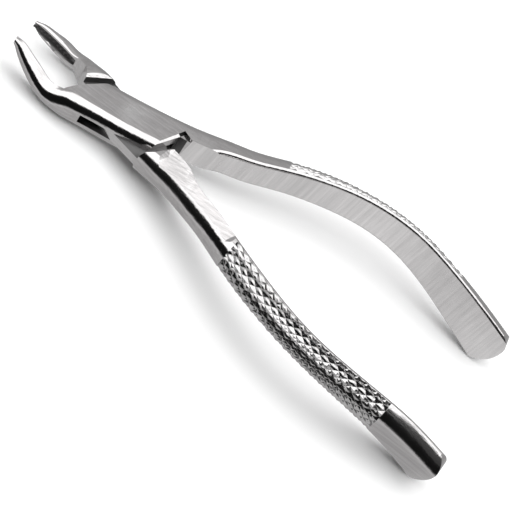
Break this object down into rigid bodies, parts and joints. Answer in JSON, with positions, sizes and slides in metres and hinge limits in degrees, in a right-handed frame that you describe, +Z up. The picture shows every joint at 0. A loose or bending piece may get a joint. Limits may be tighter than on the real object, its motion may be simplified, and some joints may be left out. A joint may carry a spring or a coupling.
{
  "type": "dental extraction forceps",
  "caption": "Hand forceps with a box joint, slim upturned hollow-faced beaks and long bowed handles with diamond knurling.",
  "frame": {"origin": "where the pivot axis leaves the flat underside of the joint", "axes": "+X from the joint towards the handles, level with the table that the forceps rests on; +Y towards the handle of the box half; +Z up"},
  "size_m": [0.1642, 0.0646, 0.0203],
  "materials": {
    "polished_steel": "mirror polished outside, satin on the inner faces, bright knurling",
    "pin_steel": "polished flush with the joint"
  },
  "bodies": {
    "box_side": {"box_half": "polished_steel", "joint_pin": "pin_steel"},
    "tongue_side": {"tongue_half": "polished_steel"}
  },
  "joints": [
    {"name": "pivot", "type": "hinge", "parent": "box_side", "child": "tongue_side", "pos_m": [-0.00044, 0, 0.00463], "axis": [0.0938, 0, -0.9956], "range_deg": [-11, 20]}
  ]
}
